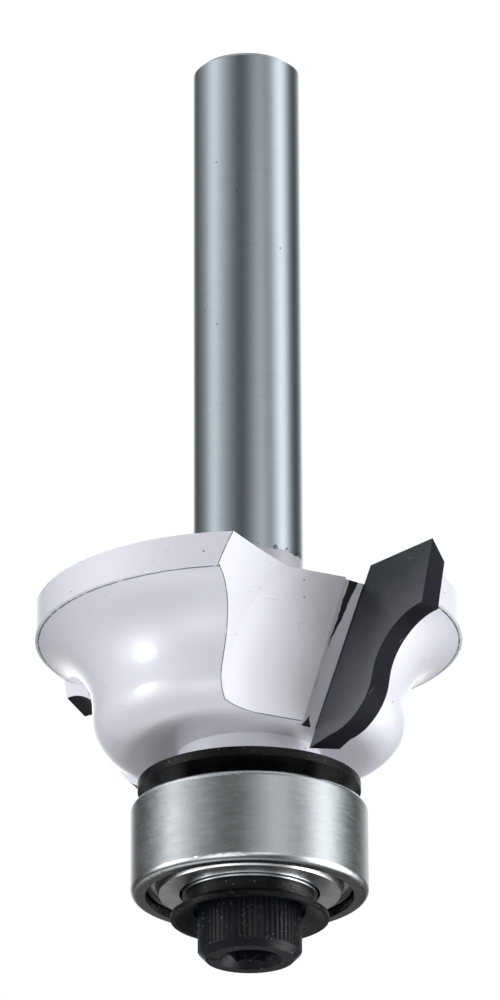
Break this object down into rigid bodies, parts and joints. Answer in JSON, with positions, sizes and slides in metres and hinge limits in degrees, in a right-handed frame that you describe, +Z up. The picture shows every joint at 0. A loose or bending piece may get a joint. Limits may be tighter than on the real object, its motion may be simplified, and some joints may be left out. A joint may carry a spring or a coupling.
{
  "type": "router bit",
  "caption": "Roman ogee router bit with a painted body, brazed carbide tips, a 6 mm shank and a ball-bearing guide.",
  "frame": {"origin": "on the axis, at the lowest face of the cap screw's head, which is the centre of the part's bottom", "axes": "+Z up the axis from the screw head to the end of the shank; -Y faces the gullet of carbide_tip_1"},
  "size_m": [0.0232, 0.0232, 0.0524],
  "materials": {
    "painted_steel": "gloss paint on the body, bare ground steel on the shank",
    "carbide": "dark ground carbide",
    "black_washer_steel": "satin black",
    "black_oxide_steel": "black oxide",
    "bearing_steel": "fine ground",
    "cage_steel": "pressed",
    "shield_steel": "pressed",
    "spring_wire": "drawn",
    "ball_steel": "polished"
  },
  "bodies": {
    "cutter": {"cutter_body": "painted_steel", "carbide_tip_1": "carbide", "carbide_tip_2": "carbide", "dust_washer": "black_washer_steel", "bearing_inner_ring": "bearing_steel", "cup_washer": "black_washer_steel", "cap_screw": "black_oxide_steel"},
    "outer_race": {"bearing_outer_ring": "bearing_steel", "shield_lower": "shield_steel", "shield_upper": "shield_steel", "snap_wire_lower": "spring_wire", "snap_wire_upper": "spring_wire"},
    "cage": {"cage_half_lower": "cage_steel", "cage_half_upper": "cage_steel"},
    "ball_1": {"ball_1": "ball_steel"},
    "ball_2": {"ball_2": "ball_steel"},
    "ball_3": {"ball_3": "ball_steel"},
    "ball_4": {"ball_4": "ball_steel"},
    "ball_5": {"ball_5": "ball_steel"},
    "ball_6": {"ball_6": "ball_steel"},
    "ball_7": {"ball_7": "ball_steel"}
  },
  "joints": [
    {"name": "outer_ring_spin", "type": "hinge", "parent": "cutter", "child": "outer_race", "pos_m": [0, 0, 0.00599], "axis": [0, 0, 1], "continuous": true},
    {"name": "cage_orbit", "type": "hinge", "parent": "cutter", "child": "cage", "pos_m": [0, 0, 0.00599], "axis": [0, 0, 1], "continuous": true},
    {"name": "ball_1_roll", "type": "hinge", "parent": "cage", "child": "ball_1", "pos_m": [0.00437, 0, 0.00599], "axis": [0, 0, 1], "continuous": true},
    {"name": "ball_2_roll", "type": "hinge", "parent": "cage", "child": "ball_2", "pos_m": [0.00272, 0.00341, 0.00599], "axis": [0, 0, 1], "continuous": true},
    {"name": "ball_3_roll", "type": "hinge", "parent": "cage", "child": "ball_3", "pos_m": [-0.00097, 0.00426, 0.00599], "axis": [0, 0, 1], "continuous": true},
    {"name": "ball_4_roll", "type": "hinge", "parent": "cage", "child": "ball_4", "pos_m": [-0.00393, 0.00189, 0.00599], "axis": [0, 0, 1], "continuous": true},
    {"name": "ball_5_roll", "type": "hinge", "parent": "cage", "child": "ball_5", "pos_m": [-0.00393, -0.00189, 0.00599], "axis": [0, 0, 1], "continuous": true},
    {"name": "ball_6_roll", "type": "hinge", "parent": "cage", "child": "ball_6", "pos_m": [-0.00097, -0.00426, 0.00599], "axis": [0, 0, 1], "continuous": true},
    {"name": "ball_7_roll", "type": "hinge", "parent": "cage", "child": "ball_7", "pos_m": [0.00272, -0.00341, 0.00599], "axis": [0, 0, 1], "continuous": true}
  ],
  "couplings": [
    {"joint": "cage_orbit", "follows": "outer_ring_spin", "ratio": 0.63635},
    {"joint": "ball_1_roll", "follows": "outer_ring_spin", "ratio": 1.6971},
    {"joint": "ball_2_roll", "follows": "outer_ring_spin", "ratio": 1.6971},
    {"joint": "ball_3_roll", "follows": "outer_ring_spin", "ratio": 1.6971},
    {"joint": "ball_4_roll", "follows": "outer_ring_spin", "ratio": 1.6971},
    {"joint": "ball_5_roll", "follows": "outer_ring_spin", "ratio": 1.6971},
    {"joint": "ball_6_roll", "follows": "outer_ring_spin", "ratio": 1.6971},
    {"joint": "ball_7_roll", "follows": "outer_ring_spin", "ratio": 1.6971}
  ]
}
